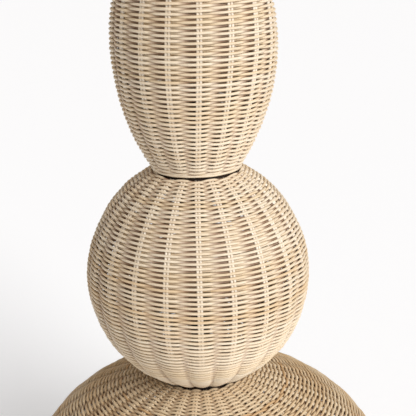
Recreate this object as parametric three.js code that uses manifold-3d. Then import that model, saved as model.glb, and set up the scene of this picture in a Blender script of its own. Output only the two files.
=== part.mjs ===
// A free-standing garden torch. Three woven rattan baskets, a wide base, a ball and an egg, are
// threaded on a steel pole and clamped between a weighted base plate and a steel cup. An oil
// canister with a screw cap, a wick and a hinged snuffer stands in the cup.
// Millimetres, +Z up, origin on the ground under the pole, hinge of the snuffer towards +X.
import * as THREE from "three";
import { mergeVertices } from "three/addons/utils/BufferGeometryUtils.js";
import Module from "manifold-3d";

const wasm = await Module();
wasm.setup();

// ---------------------------------------------------------------- driving dimensions
const seat = 0.3; // gap left between two pieces that rest on each other
const slip = 0.5; // radial gap of a loose fit, such as a disc round the pole
const turnGap = 0.15; // radial gap round a pin that turns
const past = 1; // how far a cutting tool runs past the face that it cuts

// Rattan: the wall is a weaver in front, a stake and a weaver behind.
const reed = 3.3;
const wall = 3 * reed - 0.5;

// A basket's outside is a superellipse: its widest radius, and how far up and down it reaches.
const baseShape = { widest: 246, up: { reach: 154.5, power: 1.9 }, down: { reach: 152, power: 1.9 } };
const ballShape = { widest: 146.5, up: { reach: 156, power: 1.98 }, down: { reach: 156, power: 2.03 } };
const eggShape = { widest: 104.5, up: { reach: 202.5, power: 1.8 }, down: { reach: 202.5, power: 1.8 } };
const baseFootRadius = 156;
const baseNeckRadius = 62.5;
const ballFootRadius = 62.5;
const ballNeckRadius = 60;
const eggFootRadius = 58;
const rimRoom = 14.5; // from the cup's outside to the egg's rim, for the wall and the way in
const neckTuck = 8; // how far the last rows of a neck turn in, flat, under the basket above

const hoopTube = 3.5; // the hoops inside the basket ends
const footHoopTube = 5;
const rimHoopTube = 4.2;
const discThickness = 9; // plywood discs nailed inside the necks
const washerSheet = 1.8; // rubber sheet between two baskets
const neckWasherRadius = 40;

const footHeight = 8;
const rubberFootRadius = 14;
const rubberEdge = 1.5; // bevel round the foot's sole
const footStemRadius = 4;
const stemShort = 2; // the stem ends this far below the plate's top
const footInset = 32; // from the foot to the plate's edge
const plateProud = 8; // the plate shows this far past the base basket's foot
const plateThickness = 8;
const plateEdge = 1.5;

const poleRadius = 12.5;
const poleWall = 1.5;
const flangeRadius = 45;
const flangeThickness = 6;
const flangeCollarHeight = 36;
const flangeCollarWall = 4;
const flangeFillet = 2;
const screwRadius = 3;
const screwInset = 12; // from the screws to the flange's edge
const screwHeadRadius = 5.5;
const screwHeadHeight = 5;
const socketRadius = 2.9; // hexagon socket, to its corners
const socketDepth = 2.8;
const couplerLength = 80;
const couplerWall = 3;
const grubRadius = 2.5;
const grubLength = 4;
const studRadius = 6;
const studPlugLength = 24;
const studCollarHeight = 4;
const studProud = 4; // above the nut
const poleShort = 12; // the pole ends this far below the cup

const cupGap = 2; // round the canister
const cupWall = 1.5;
const cupDepth = 93;
const cupBend = 3;
const cupLip = 6;
const lipGap = 3.8; // from the rim's hoop to the cup's turned-down lip, for the lashing
const washerWidth = 11; // from the stud to the clamp washer's edge
const washerThickness = 2;
const nutHeight = 10;
const nutWidth = 5; // from the stud to the nut's corners
const restHeight = 18;
const restInset = 6; // the rest ring is this much smaller than the canister
const restClear = 7; // from the clamp washer to the rest ring

const canisterRadius = 44;
const canisterBody = 66; // straight side
const canisterWall = 1.2;
const canisterBend = 4;
const shoulderHeight = 14;
const neckRadius = 22;
const neckWall = 3;
const neckHeight = 12;
const gasketThickness = 1.6;
const gasketShort = 0.5; // the gasket's hole is wider than the neck's by this
const threadGap = 1.6; // round the neck, for the thread
const capWall = 3.4;
const capEdge = 1.2;
const capTopThickness = 2.5;
const capSkirt = 9.5;
const tubeRadius = 8;
const tubeWall = 1.4;
const tubeAbove = 15; // above the cap
const tubeBelow = 14;
const tubeCollarWidth = 3;
const tubeCollarThickness = 1.6;
const wickGap = 0.6; // between the wick and its tube
const wickProud = 4;
const wickShort = 3; // the wick ends this far above the canister's floor

const bellRoom = 4; // between the tube's collar and the bell
const bellWall = 1.5;
const bellBead = 0.8; // rolled edge round the bell's mouth
const bellBeadHeight = 1.5;
const bellHeight = 32;
const bellCrown = 7; // height of the bell's rounded shoulder
const bellCrownInset = 6;
const bellLift = 3.5; // above the cap
const bracketGap = 0.7; // between the bell and the bracket
const hingeReach = 10; // from the bracket's back edge to the pin
const hingeRise = 7.5; // above the cap
const pinRadius = 1.5;
const pinHeadRadius = 2.6;
const pinHeadThickness = 1;
const pinProud = 1; // past the outside of each ear
const earLap = 2.1; // metal round the pin in each ear
const barrelWall = 1.55;
const earThickness = 1.5;
const bracketInset = 1.5; // from the cap's edge to the bracket
const strapWidth = 9;
const strapThickness = 1.5;
const strapGap = 1.6; // between the bell's side and the strap
const strapPast = 6; // the strap runs this far past the bell's axis
const knobScrewRadius = 2.2;
const knobScrewReach = 9; // into the knob
const knobScrewHeadRadius = 4;
const knobScrewHeadThickness = 2;
const knobRadius = 8;
const knobHeight = 15;
const knobWaist = 4.6;
const knobSeatWidth = 1.2; // the knob's seat is wider than its waist
const knobWaistRise = 2.5;

// Sides of the round pieces, by size.
const smallSides = 18;
const mediumSides = 28;
const largeSides = 40;

// ---------------------------------------------------------------- radii that follow
const plateRadius = baseFootRadius + plateProud;
const footCircle = plateRadius - rubberFootRadius - footInset;
const screwCircle = flangeRadius - screwInset;
const cupInner = canisterRadius + cupGap;
const cupOuter = cupInner + cupWall;
const eggRimRadius = cupOuter + rimRoom;
const washerRadius = studRadius + washerWidth;
const nutCorner = studRadius + nutWidth;
const restOuter = canisterRadius - restInset;
const restInner = washerRadius + restClear;
const capRadius = neckRadius + threadGap + capWall;
const wickRadius = tubeRadius - tubeWall - wickGap;
const bellInner = tubeRadius + tubeCollarWidth + bellRoom;
const bellOuter = bellInner + bellWall;
const bracketBackX = bellOuter + bellBead + bracketGap;
const hingeX = bracketBackX + hingeReach;

// ---------------------------------------------------------------- colours
const rattan = { color: 0xd9c49c, roughness: 0.6, metalness: 0 };
const plywood = { color: 0xc9a873, roughness: 0.7, metalness: 0 };
const blackSteel = { color: 0x232323, roughness: 0.5, metalness: 0.4 };
const zincSteel = { color: 0xb9bcc0, roughness: 0.35, metalness: 1 };
const brass = { color: 0xb08d4a, roughness: 0.3, metalness: 1 };
const rubber = { color: 0x1a1a1a, roughness: 0.85, metalness: 0 };
const glassFibre = { color: 0xe8e4d8, roughness: 0.95, metalness: 0 };
const boxwood = { color: 0x6a4526, roughness: 0.5, metalness: 0 };

// ---------------------------------------------------------------- helpers
const torch = new THREE.Group();

function piece(name, geometry, look) {
  const mesh = new THREE.Mesh(geometry, new THREE.MeshStandardMaterial(look));
  mesh.name = name;
  torch.add(mesh);
  return mesh;
}

// Revolves [radius, height] points about +Z. The outline goes round with the solid on its left.
function turned(outline, segments) {
  const points = outline.map(([radius, height]) => new THREE.Vector2(radius, height));
  if (outline[0][0] > 0) points.push(points[0].clone());
  return new THREE.LatheGeometry(points, segments).rotateX(Math.PI / 2);
}

function rod(radius, bottom, top, segments = smallSides) {
  return turned([[0, bottom], [radius, bottom], [radius, top], [0, top]], segments);
}

function tube(outer, inner, bottom, top, segments = mediumSides) {
  return turned([[inner, bottom], [outer, bottom], [outer, top], [inner, top]], segments);
}

function ring(radius, tubeRadius, height, segments, sides = 6) {
  const outline = Array.from({ length: sides }, (_, i) => {
    const angle = (2 * Math.PI * i) / sides;
    return [radius + tubeRadius * Math.cos(angle), height + tubeRadius * Math.sin(angle)];
  });
  return turned(outline, segments);
}

// Points of a quarter ellipse from [outer, low] to [inner, high], both ends included.
function shoulder(outer, inner, low, high, steps = 5) {
  return Array.from({ length: steps + 1 }, (_, i) => {
    const turn = (i * Math.PI) / (2 * steps);
    return [inner + (outer - inner) * Math.cos(turn), low + (high - low) * Math.sin(turn)];
  });
}

// A rod lying along +Y, centred on the plane y = 0 unless it is moved.
function crossRod(radius, length, segments = smallSides) {
  return new THREE.CylinderGeometry(radius, radius, length, segments);
}

// An [x, z] outline with the given width along Y, centred on y = middle.
function slab(outline, width, middle = 0) {
  const shape = new THREE.Shape(outline.map(([x, z]) => new THREE.Vector2(x, z)));
  const flat = new THREE.ExtrudeGeometry(shape, { depth: width, bevelEnabled: false });
  return flat.rotateX(Math.PI / 2).translate(0, middle + width / 2, 0);
}

function solid(geometry) {
  const bare = geometry.clone();
  bare.deleteAttribute("normal");
  bare.deleteAttribute("uv");
  const merged = mergeVertices(bare, 1e-4);
  return new wasm.Manifold(
    new wasm.Mesh({
      numProp: 3,
      vertProperties: new Float32Array(merged.attributes.position.array),
      triVerts: new Uint32Array(merged.index.array),
    }),
  );
}

function geometryOf(body) {
  const mesh = body.getMesh();
  return new THREE.BufferGeometry()
    .setAttribute("position", new THREE.BufferAttribute(mesh.vertProperties, 3))
    .setIndex(new THREE.BufferAttribute(mesh.triVerts, 1));
}

function join(...geometries) {
  return geometryOf(geometries.map(solid).reduce((all, next) => all.add(next)));
}

function cut(geometry, ...tools) {
  return geometryOf(tools.map(solid).reduce((left, tool) => left.subtract(tool), solid(geometry)));
}

// Moves copies of a geometry round +Z, starting half a step from +X.
function around(geometry, count, radius) {
  return Array.from({ length: count }, (_, i) => {
    const angle = ((i + 0.5) * 2 * Math.PI) / count;
    return geometry.clone().translate(radius * Math.cos(angle), radius * Math.sin(angle), 0);
  });
}

// ---------------------------------------------------------------- basket shapes
function radiusAt(shape, height) {
  const { reach, power } = height > 0 ? shape.up : shape.down;
  return shape.widest * (1 - Math.abs(height / reach) ** power) ** (1 / power);
}

// Height of the outside above the widest ring where it has this radius.
function riseTo(shape, radius) {
  const { reach, power } = shape.up;
  return reach * (1 - (radius / shape.widest) ** power) ** (1 / power);
}

function dropTo(shape, radius) {
  const { reach, power } = shape.down;
  return reach * (1 - (radius / shape.widest) ** power) ** (1 / power);
}

// The outside and the inside line of a wall from its foot to its rim, as [radius, height] about
// the widest ring. Steps get shorter towards both ends, where the wall turns in fastest.
function wallLines(shape, footRadius, rimRadius, halfSteps = 5) {
  const low = -dropTo(shape, footRadius);
  const high = riseTo(shape, rimRadius);
  const outside = [];
  const inside = [];
  for (let i = -halfSteps; i <= halfSteps; i++) {
    const share = Math.sin((Math.PI * i) / (2 * halfSteps));
    const height = share < 0 ? -share * low : share * high;
    const radius = radiusAt(shape, height);
    const nudge = 0.01;
    const slope = (radiusAt(shape, height + nudge) - radiusAt(shape, height - nudge)) / (2 * nudge);
    const length = Math.hypot(1, slope);
    outside.push([radius, height]);
    inside.push([radius - wall / length, height + (wall * slope) / length]);
  }
  return { outside, inside };
}

// A basket's wall about its widest ring. A tucked rim ends in a flat collar turned inwards.
function basket(shape, footRadius, rimRadius, centre, tuck) {
  const { outside, inside } = wallLines(shape, footRadius, rimRadius);
  const rim = outside[outside.length - 1];
  const underRim = inside[inside.length - 1];
  const collar = tuck > 0 ? [[rim[0] - tuck, rim[1]], [rim[0] - tuck, underRim[1]]] : [];
  const outline = [...outside, ...collar, ...inside.reverse()].map(([r, z]) => [r, z + centre]);
  return turned(outline, largeSides);
}

// The inner edge of a wall's end, as [radius, height above the widest ring].
function innerEdge(shape, footRadius, rimRadius, atRim) {
  const { inside } = wallLines(shape, footRadius, rimRadius);
  return atRim ? inside[inside.length - 1] : inside[0];
}

// ---------------------------------------------------------------- heights of the stack
const plateBottom = footHeight;
const plateTop = plateBottom + plateThickness;
const baseBottom = plateTop + seat;
const baseCentre = baseBottom + dropTo(baseShape, baseFootRadius);
const baseTop = baseCentre + riseTo(baseShape, baseNeckRadius);
const ballBottom = baseTop + washerSheet + 2 * seat;
const ballCentre = ballBottom + dropTo(ballShape, ballFootRadius);
const ballTop = ballCentre + riseTo(ballShape, ballNeckRadius);
const eggBottom = ballTop + washerSheet + 2 * seat;
const eggCentre = eggBottom + dropTo(eggShape, eggFootRadius);
const eggTop = eggCentre + riseTo(eggShape, eggRimRadius);

// ---------------------------------------------------------------- base plate and feet
const stemTop = plateTop - stemShort;
const rubberFoot = turned(
  [[0, 0], [rubberFootRadius - rubberEdge, 0], [rubberFootRadius, rubberEdge],
    [rubberFootRadius, footHeight - seat], [footStemRadius, footHeight - seat],
    [footStemRadius, stemTop], [0, stemTop]],
  smallSides,
);
around(rubberFoot, 4, footCircle).forEach((copy, i) => piece(`foot_${i + 1}`, copy, rubber));

const plateBlank = turned(
  [[0, plateBottom], [plateRadius - plateEdge, plateBottom], [plateRadius, plateBottom + plateEdge],
    [plateRadius, plateTop - plateEdge], [plateRadius - plateEdge, plateTop], [0, plateTop]],
  largeSides,
);
const stemHole = rod(footStemRadius + slip, plateBottom - past, plateTop + past);
const plateScrewHole = rod(screwRadius + turnGap, plateBottom - past, plateTop + past);
piece(
  "base_plate",
  cut(plateBlank, ...around(stemHole, 4, footCircle), ...around(plateScrewHole, 4, screwCircle)),
  blackSteel,
);

// ---------------------------------------------------------------- pole and its flange
const flangeBottom = plateTop + seat;
const flangeTop = flangeBottom + flangeThickness;
const collarInner = poleRadius + turnGap;
const collarOuter = collarInner + flangeCollarWall;
const collarTop = flangeTop + flangeCollarHeight;
const flangeBlank = turned(
  [[collarInner, flangeBottom], [flangeRadius, flangeBottom], [flangeRadius, flangeTop],
    [collarOuter + flangeFillet, flangeTop], [collarOuter, flangeTop + flangeFillet],
    [collarOuter, collarTop], [collarInner, collarTop]],
  largeSides,
);
const flangeScrewHole = rod(screwRadius + slip, flangeBottom - past, flangeTop + past);
piece("pole_flange", cut(flangeBlank, ...around(flangeScrewHole, 4, screwCircle)), blackSteel);

const headBottom = flangeTop + seat;
const headTop = headBottom + screwHeadHeight;
const screwTip = plateBottom + plateEdge;
const screwBody = turned(
  [[0, screwTip], [screwRadius, screwTip], [screwRadius, headBottom], [screwHeadRadius, headBottom],
    [screwHeadRadius, headTop], [0, headTop]],
  smallSides,
);
const hexKeySocket = rod(socketRadius, headTop - socketDepth, headTop + past, 6);
const flangeScrew = cut(screwBody, hexKeySocket);
around(flangeScrew, 4, screwCircle).forEach((copy, i) => piece(`flange_screw_${i + 1}`, copy, zincSteel));

const poleBottom = flangeBottom;
const poleJoint = ballCentre;
const cupTop = eggTop + 2 * rimHoopTube + seat;
const cupFloor = cupTop - cupDepth;
const poleTop = cupFloor - poleShort;
piece("pole_lower", tube(poleRadius, poleRadius - poleWall, poleBottom, poleJoint - seat / 2), blackSteel);
piece("pole_upper", tube(poleRadius, poleRadius - poleWall, poleJoint + seat / 2, poleTop), blackSteel);

const couplerInner = poleRadius + turnGap;
const couplerOuter = couplerInner + couplerWall;
const grubBore = crossRod(grubRadius + turnGap, 3 * couplerWall).translate(0, -couplerOuter, poleJoint);
const grubOffset = couplerLength / 4;
piece(
  "pole_coupler",
  cut(
    tube(couplerOuter, couplerInner, poleJoint - couplerLength / 2, poleJoint + couplerLength / 2),
    grubBore.clone().translate(0, 0, grubOffset),
    grubBore.clone().translate(0, 0, -grubOffset),
  ),
  zincSteel,
);
const grubMiddle = -poleRadius - seat - grubLength / 2;
const grub = crossRod(grubRadius, grubLength).translate(0, grubMiddle, poleJoint);
piece("grub_screw_lower", grub.clone().translate(0, 0, -grubOffset), zincSteel);
piece("grub_screw_upper", grub.clone().translate(0, 0, grubOffset), zincSteel);

const studPlugRadius = poleRadius - poleWall - turnGap;
const cupFloorTop = cupFloor + cupWall;
const washerBottom = cupFloorTop + seat;
const washerTop = washerBottom + washerThickness;
const nutBottom = washerTop + seat;
const studTop = nutBottom + nutHeight + studProud;
const studPoint = 1; // bevel at the stud's end
const studPlugBottom = poleTop - studPlugLength;
const studCollarBottom = poleTop + seat;
const studCollarTop = studCollarBottom + studCollarHeight;
piece(
  "clamp_stud",
  turned(
    [[0, studPlugBottom], [studPlugRadius, studPlugBottom], [studPlugRadius, studCollarBottom],
      [poleRadius, studCollarBottom], [poleRadius, studCollarTop], [studRadius, studCollarTop],
      [studRadius, studTop - studPoint], [studRadius - studPoint, studTop], [0, studTop]],
    mediumSides,
  ),
  zincSteel,
);

// ---------------------------------------------------------------- baskets, hoops and neck discs
const discBore = poleRadius + slip;

// A hoop lies against the inside of a wall's end, and a plywood disc fills the end's opening.
function hoop(name, radius, height) {
  piece(name, ring(radius, hoopTube, height, mediumSides), rattan);
}

function disc(name, opening, bottom) {
  piece(name, tube(opening - slip, discBore, bottom, bottom + discThickness), plywood);
}

function neck(name, shape, footRadius, rimRadius, centre, top) {
  const edge = innerEdge(shape, footRadius, rimRadius, true);
  const opening = rimRadius - neckTuck;
  hoop(`${name}_hoop`, opening, centre + edge[1] - seat - hoopTube);
  disc(`${name}_disc`, opening, top - discThickness);
}

function foot(name, shape, footRadius, rimRadius, centre, bottom) {
  const edge = innerEdge(shape, footRadius, rimRadius, false);
  const overDisc = Math.max(centre + edge[1], bottom + discThickness);
  hoop(`${name}_hoop`, edge[0] - hoopTube, overDisc + seat + hoopTube);
  disc(`${name}_disc`, edge[0], bottom);
}

piece("base_basket", basket(baseShape, baseFootRadius, baseNeckRadius, baseCentre, neckTuck), rattan);
const footEdge = innerEdge(baseShape, baseFootRadius, baseNeckRadius, false);
piece(
  "base_foot_hoop",
  ring(footEdge[0] - footHoopTube - seat, footHoopTube, baseBottom + footHoopTube, largeSides),
  rattan,
);
neck("base_neck", baseShape, baseFootRadius, baseNeckRadius, baseCentre, baseTop);

function neckWasher(name, bottom) {
  piece(name, tube(neckWasherRadius, discBore, bottom, bottom + washerSheet), rubber);
}
neckWasher("lower_neck_washer", baseTop + seat);

piece("ball_basket", basket(ballShape, ballFootRadius, ballNeckRadius, ballCentre, neckTuck), rattan);
foot("ball_foot", ballShape, ballFootRadius, ballNeckRadius, ballCentre, ballBottom);
neck("ball_neck", ballShape, ballFootRadius, ballNeckRadius, ballCentre, ballTop);

neckWasher("upper_neck_washer", ballTop + seat);

piece("egg_basket", basket(eggShape, eggFootRadius, eggRimRadius, eggCentre, 0), rattan);
foot("egg_foot", eggShape, eggFootRadius, eggRimRadius, eggCentre, eggBottom);
const rimInner = innerEdge(eggShape, eggFootRadius, eggRimRadius, true)[0];
const rimHoopRadius = (rimInner + eggRimRadius) / 2;
piece("egg_rim_hoop", ring(rimHoopRadius, rimHoopTube, eggTop + rimHoopTube, largeSides), rattan);

// ---------------------------------------------------------------- cup and the clamp
const cupFlangeBottom = cupTop;
const cupFlangeTop = cupFlangeBottom + cupWall;
const cupLipInner = rimHoopRadius + rimHoopTube + lipGap;
const cupLipOuter = cupLipInner + cupWall;
const cupLipBottom = cupFlangeTop - cupLip;
const cupEdge = 1; // bevel where the flange turns down
piece(
  "canister_cup",
  turned(
    [[studRadius + slip, cupFloor], [cupOuter - cupBend, cupFloor], [cupOuter, cupFloor + cupBend],
      [cupOuter, cupFlangeBottom], [cupLipInner, cupFlangeBottom], [cupLipInner, cupLipBottom],
      [cupLipOuter, cupLipBottom], [cupLipOuter, cupFlangeTop - cupEdge],
      [cupLipOuter - cupEdge, cupFlangeTop], [cupInner, cupFlangeTop],
      [cupInner, cupFloorTop], [studRadius + slip, cupFloorTop]],
    largeSides,
  ),
  blackSteel,
);

piece("clamp_washer", tube(washerRadius, studRadius + turnGap, washerBottom, washerTop), zincSteel);
const nutBlank = rod(nutCorner, nutBottom, nutBottom + nutHeight, 6);
const nutBore = rod(studRadius + turnGap, nutBottom - past, studTop, mediumSides);
piece("clamp_nut", cut(nutBlank, nutBore), zincSteel);
const restBottom = cupFloorTop + seat;
const restTop = restBottom + restHeight;
piece("rest_ring", tube(restOuter, restInner, restBottom, restTop, largeSides), rubber);

// ---------------------------------------------------------------- oil canister
const canisterBottom = restTop + seat;
const bodyTop = canisterBottom + canisterBend + canisterBody;
const shoulderTop = bodyTop + shoulderHeight;
const neckTop = shoulderTop + neckHeight;
const neckInner = neckRadius - neckWall;
const canisterInner = canisterRadius - canisterWall;
const canisterFloor = canisterBottom + canisterWall;
piece(
  "oil_canister",
  turned(
    [[0, canisterBottom], [canisterRadius - canisterBend, canisterBottom],
      [canisterRadius, canisterBottom + canisterBend],
      ...shoulder(canisterRadius, neckRadius, bodyTop, shoulderTop),
      [neckRadius, neckTop], [neckInner, neckTop],
      ...shoulder(canisterInner, neckInner, bodyTop, shoulderTop - canisterWall).reverse(),
      [canisterInner, canisterFloor + canisterBend], [canisterInner - canisterBend, canisterFloor],
      [0, canisterFloor]],
    largeSides,
  ),
  blackSteel,
);

const gasketBottom = neckTop + seat;
const gasketTop = gasketBottom + gasketThickness;
piece("cap_gasket", tube(neckRadius, neckInner + gasketShort, gasketBottom, gasketTop, largeSides), rubber);

// ---------------------------------------------------------------- burner cap, tube and wick
const capInnerTop = gasketTop + seat;
const capTop = capInnerTop + capTopThickness;
const capInner = capRadius - capWall;
const capBottom = neckTop - capSkirt;
const tubeBore = tubeRadius + turnGap;
piece(
  "burner_cap",
  turned(
    [[tubeBore, capInnerTop], [capInner, capInnerTop], [capInner, capBottom], [capRadius, capBottom],
      [capRadius, capTop - capEdge], [capRadius - capEdge, capTop], [tubeBore, capTop]],
    largeSides,
  ),
  brass,
);

const tubeTop = capTop + tubeAbove;
const tubeBottom = capTop - tubeBelow;
const tubeInner = tubeRadius - tubeWall;
const tubeCollarRadius = tubeRadius + tubeCollarWidth;
const tubeCollarBottom = capTop + seat;
const tubeCollarTop = tubeCollarBottom + tubeCollarThickness;
piece(
  "wick_tube",
  turned(
    [[tubeInner, tubeBottom], [tubeRadius, tubeBottom], [tubeRadius, tubeCollarBottom],
      [tubeCollarRadius, tubeCollarBottom], [tubeCollarRadius, tubeCollarTop], [tubeRadius, tubeCollarTop],
      [tubeRadius, tubeTop], [tubeInner, tubeTop]],
    mediumSides,
  ),
  brass,
);
piece("wick", rod(wickRadius, canisterFloor + wickShort, tubeTop + wickProud), glassFibre);

// ---------------------------------------------------------------- snuffer and its hinge
const hingeZ = capTop + hingeRise;
const earInner = strapWidth / 2 + slip;
const earOuter = earInner + earThickness;
const earTip = pinRadius + earLap;
const bracketBottom = capTop + seat;
const bracketTop = bracketBottom + strapThickness;
const bracketFrontX = capRadius - bracketInset;

// An ear rises from the bracket's foot to half a circle round the pin.
function earOutline() {
  const outline = [[bracketBackX, bracketBottom], [bracketFrontX, bracketBottom]];
  const steps = 8;
  for (let i = 0; i <= steps; i++) {
    const angle = (i / steps - 0.25) * Math.PI;
    outline.push([hingeX + earTip * Math.cos(angle), hingeZ + earTip * Math.sin(angle)]);
  }
  return outline;
}
const pinBore = crossRod(pinRadius + turnGap, 4 * strapWidth).translate(hingeX, 0, hingeZ);
const earMiddle = earInner + earThickness / 2;
const bracketFoot = slab(
  [[bracketBackX, bracketBottom], [bracketFrontX, bracketBottom], [bracketFrontX, bracketTop],
    [bracketBackX, bracketTop]],
  2 * earOuter,
);
const ears = [earMiddle, -earMiddle].map((middle) => slab(earOutline(), earThickness, middle));
piece("snuffer_bracket", cut(join(bracketFoot, ...ears), pinBore), brass);

const pinLength = 2 * (earOuter + pinProud);
const pinHeadMiddle = -(pinLength + pinHeadThickness) / 2;
const pinHead = crossRod(pinHeadRadius, pinHeadThickness).translate(hingeX, pinHeadMiddle, hingeZ);
piece("snuffer_pin", join(crossRod(pinRadius, pinLength).translate(hingeX, 0, hingeZ), pinHead), zincSteel);

const bellBottom = capTop + bellLift;
const bellTop = bellBottom + bellHeight + bellWall;
const bellInside = bellTop - bellWall;
const beadRadius = bellOuter + bellBead;
const beadTop = bellBottom + bellBeadHeight;
const knobScrewBore = knobScrewRadius + seat;
piece(
  "snuffer_bell",
  turned(
    [[knobScrewBore, bellInside],
      ...shoulder(bellInner, bellInner - bellCrownInset, bellInside - bellCrown, bellInside).reverse(),
      [bellInner, bellBottom], [beadRadius, bellBottom], [beadRadius, beadTop],
      [bellOuter, beadTop + bellBead],
      ...shoulder(bellOuter, bellOuter - bellCrownInset, bellTop - bellCrown, bellTop),
      [knobScrewBore, bellTop]],
    mediumSides,
  ),
  brass,
);

// The strap runs from a barrel on the pin, up beside the bell and over its top.
const barrelRadius = pinRadius + turnGap + barrelWall;
const strapBack = bellOuter + strapGap;
const strapFront = strapBack + strapThickness;
const strapLow = hingeZ - strapThickness / 2;
const strapHigh = strapLow + strapThickness;
const strapUnder = bellTop + seat;
const strapTop = strapUnder + strapThickness;
const strapOutline = [
  [strapBack, strapLow], [strapBack, strapUnder], [-strapPast, strapUnder], [-strapPast, strapTop],
  [strapFront, strapTop], [strapFront, strapHigh], [hingeX, strapHigh], [hingeX, strapLow],
];
const barrel = crossRod(barrelRadius, strapWidth, mediumSides).translate(hingeX, 0, hingeZ);
const strapScrewBore = rod(knobScrewBore, bellTop, strapTop + past);
piece(
  "snuffer_arm",
  cut(join(slab(strapOutline, strapWidth), barrel), pinBore, strapScrewBore),
  brass,
);

const knobBottom = strapTop + seat;
const screwUnder = bellInside - seat;
const screwHeadBottom = screwUnder - knobScrewHeadThickness;
const screwTop = knobBottom + knobScrewReach;
const boreTop = screwTop + seat;
piece(
  "knob_screw",
  turned(
    [[0, screwHeadBottom], [knobScrewHeadRadius, screwHeadBottom], [knobScrewHeadRadius, screwUnder],
      [knobScrewRadius, screwUnder], [knobScrewRadius, screwTop], [0, screwTop]],
    smallSides,
  ),
  zincSteel,
);

// The knob is a ball on a waist, with a blind bore for its screw.
const knobCentre = knobBottom + knobHeight - knobRadius;
const ballSteps = 7;
const ballStart = -0.27; // where the ball leaves the waist, in half turns from its equator
const ballOutline = Array.from({ length: ballSteps + 1 }, (_, i) => {
  const angle = Math.PI * (ballStart + (i * (0.5 - ballStart)) / ballSteps);
  return [i === ballSteps ? 0 : knobRadius * Math.cos(angle), knobCentre + knobRadius * Math.sin(angle)];
});
piece(
  "snuffer_knob",
  turned(
    [[0, boreTop], [knobScrewBore, boreTop], [knobScrewBore, knobBottom],
      [knobWaist + knobSeatWidth, knobBottom], [knobWaist, knobBottom + knobWaistRise], ...ballOutline],
    mediumSides,
  ),
  boxwood,
);

export default torch;
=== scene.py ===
import math

import bpy
import numpy as np
from mathutils import Euler, Matrix, Vector


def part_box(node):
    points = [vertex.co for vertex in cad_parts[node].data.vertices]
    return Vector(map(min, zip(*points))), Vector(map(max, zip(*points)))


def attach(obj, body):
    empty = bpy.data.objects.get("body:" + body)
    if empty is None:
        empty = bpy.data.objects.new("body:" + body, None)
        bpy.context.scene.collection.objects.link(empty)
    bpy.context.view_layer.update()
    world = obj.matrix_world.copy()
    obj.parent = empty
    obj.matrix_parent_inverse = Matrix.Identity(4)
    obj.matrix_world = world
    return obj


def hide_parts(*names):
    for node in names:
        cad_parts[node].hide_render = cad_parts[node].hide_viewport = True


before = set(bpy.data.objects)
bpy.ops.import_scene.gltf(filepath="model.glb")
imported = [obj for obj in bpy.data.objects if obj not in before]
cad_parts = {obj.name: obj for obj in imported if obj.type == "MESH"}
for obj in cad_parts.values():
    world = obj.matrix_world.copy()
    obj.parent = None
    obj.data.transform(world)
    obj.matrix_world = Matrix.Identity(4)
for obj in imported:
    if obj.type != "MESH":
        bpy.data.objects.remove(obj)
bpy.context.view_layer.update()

# ------------------------------------------------------------------------------------------
# Camera. A long lens 0.9 m above the floor, looking down at the ball basket, so that the base
# and the top of the egg run out of the picture.
CAMERA_LENS = 83.1
CAMERA_DISTANCE = 1.248
CAMERA_PITCH = math.radians(17.8)
CAMERA_ROLL = math.radians(-1.2)
LOOK_AT = Vector((0.0135, 0.0, 0.5087))

camera_data = bpy.data.cameras.new("camera")
camera_data.lens = CAMERA_LENS
camera = bpy.data.objects.new("camera", camera_data)
bpy.context.scene.collection.objects.link(camera)
tilt = Euler((math.pi / 2 - CAMERA_PITCH, 0.0, 0.0)).to_matrix() @ Matrix.Rotation(CAMERA_ROLL, 3, "Z")
back = Vector((0.0, -math.cos(CAMERA_PITCH), math.sin(CAMERA_PITCH)))
camera.matrix_world = Matrix.LocRotScale(LOOK_AT + back * CAMERA_DISTANCE, tilt.to_quaternion(), None)
bpy.context.scene.camera = camera

# ------------------------------------------------------------------------------------------
# Rubber feet. Black nitrile, moulded, with a push-in stem that snaps into the base plate.


def linear(hex_colour):
    """An sRGB hex colour as linear RGBA."""
    parts = [int(hex_colour[i:i + 2], 16) / 255 for i in (1, 3, 5)]
    return (*[c / 12.92 if c <= 0.04045 else ((c + 0.055) / 1.055) ** 2.4 for c in parts], 1.0)


def node(tree, kind, inputs=None, stops=None, **settings):
    """Adds a node. inputs maps a socket to a value, or to another node's output socket. stops
    are a colour ramp's (position, hex colour) pairs."""
    made = tree.nodes.new(kind)
    for name, value in settings.items():
        setattr(made, name, value)
    for name, value in (inputs or {}).items():
        if isinstance(value, bpy.types.NodeSocket):
            tree.links.new(value, made.inputs[name])
        else:
            made.inputs[name].default_value = value
    if stops:
        band = made.color_ramp
        band.elements[0].position, band.elements[0].color = stops[0][0], linear(stops[0][1])
        band.elements[1].position, band.elements[1].color = stops[-1][0], linear(stops[-1][1])
        for position, colour in stops[1:-1]:
            band.elements.new(position).color = linear(colour)
    return made


def new_material(name):
    """An empty material, its node tree and its Principled shader."""
    material = bpy.data.materials.new(name)
    material.use_nodes = True
    tree = material.node_tree
    return material, tree, tree.nodes["Principled BSDF"]


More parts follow.
